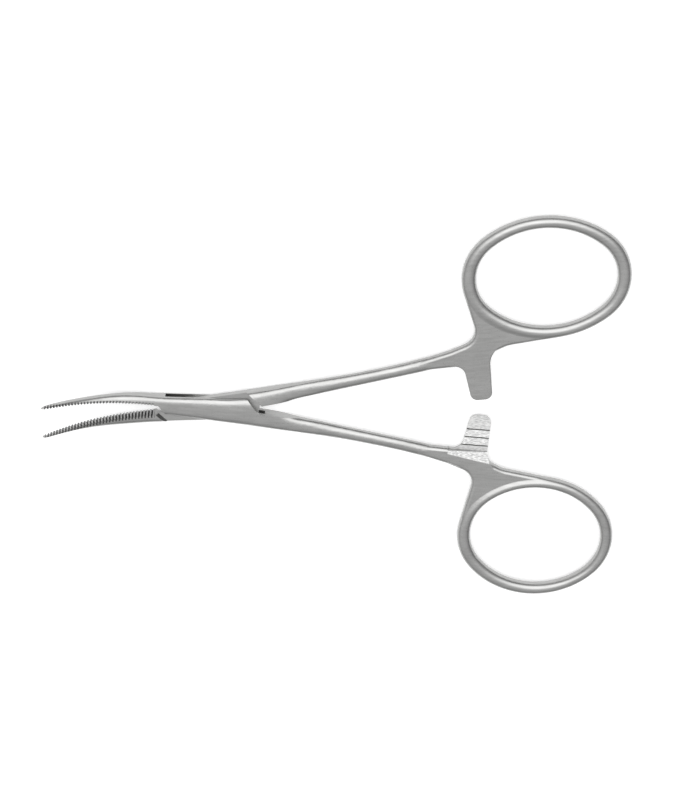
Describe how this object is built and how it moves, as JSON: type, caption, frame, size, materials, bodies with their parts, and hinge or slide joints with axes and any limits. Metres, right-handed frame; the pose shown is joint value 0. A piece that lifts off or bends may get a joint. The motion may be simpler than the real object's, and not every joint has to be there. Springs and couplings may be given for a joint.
{
  "type": "haemostatic forceps",
  "caption": "Curved fine-tipped haemostatic forceps in satin steel, with a box lock, serrated jaws, finger rings and a stepped ratchet, lying open.",
  "frame": {"origin": "on the hinge axis, in the flat land on the underside of the box lock that rests on the table", "axes": "+X along the instrument from the box lock towards the finger rings, +Z along the hinge axis out of the face that carries the upturned jaw tips"},
  "size_m": [0.1225, 0.0896, 0.009],
  "materials": {
    "slotted_half_steel": "satin",
    "male_half_steel": "satin",
    "pin_steel": "satin"
  },
  "bodies": {
    "slotted_side": {"box_half": "slotted_half_steel", "pivot_pin": "pin_steel"},
    "male_side": {"male_half": "male_half_steel"}
  },
  "joints": [
    {"name": "box_lock_hinge", "type": "hinge", "parent": "slotted_side", "child": "male_side", "pos_m": [0, 0, 0.00164], "axis": [0, 0, 1], "range_deg": [-10.4, 30]}
  ]
}
